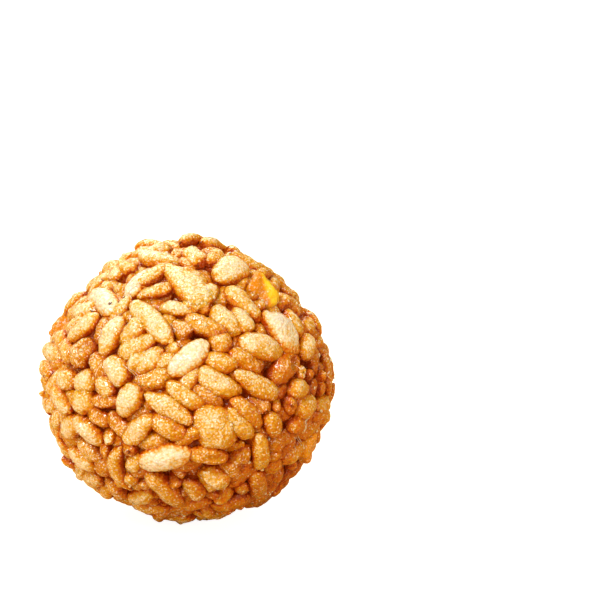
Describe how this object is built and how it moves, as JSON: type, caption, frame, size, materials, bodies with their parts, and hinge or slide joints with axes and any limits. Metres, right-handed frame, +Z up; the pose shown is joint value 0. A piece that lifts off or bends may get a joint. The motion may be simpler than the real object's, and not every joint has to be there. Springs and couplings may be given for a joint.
{
  "type": "puffed rice ball",
  "caption": "Hand-sized ball of puffed rice grains bound with syrup, with chips of candied peel and a small flat to rest on.",
  "frame": {"origin": "middle of the ball's box at its base, on the small flat that it rests on", "axes": "+Z up; the face with the pale grain in its middle looks to -Y and a little up"},
  "size_m": [0.0499, 0.0499, 0.0477],
  "materials": {
    "syrup_coated_rice": "golden puffed rice under a thin glossy coat of syrup"
  },
  "bodies": {
    "root": {"puffed_rice_ball": "syrup_coated_rice"}
  },
  "joints": []
}
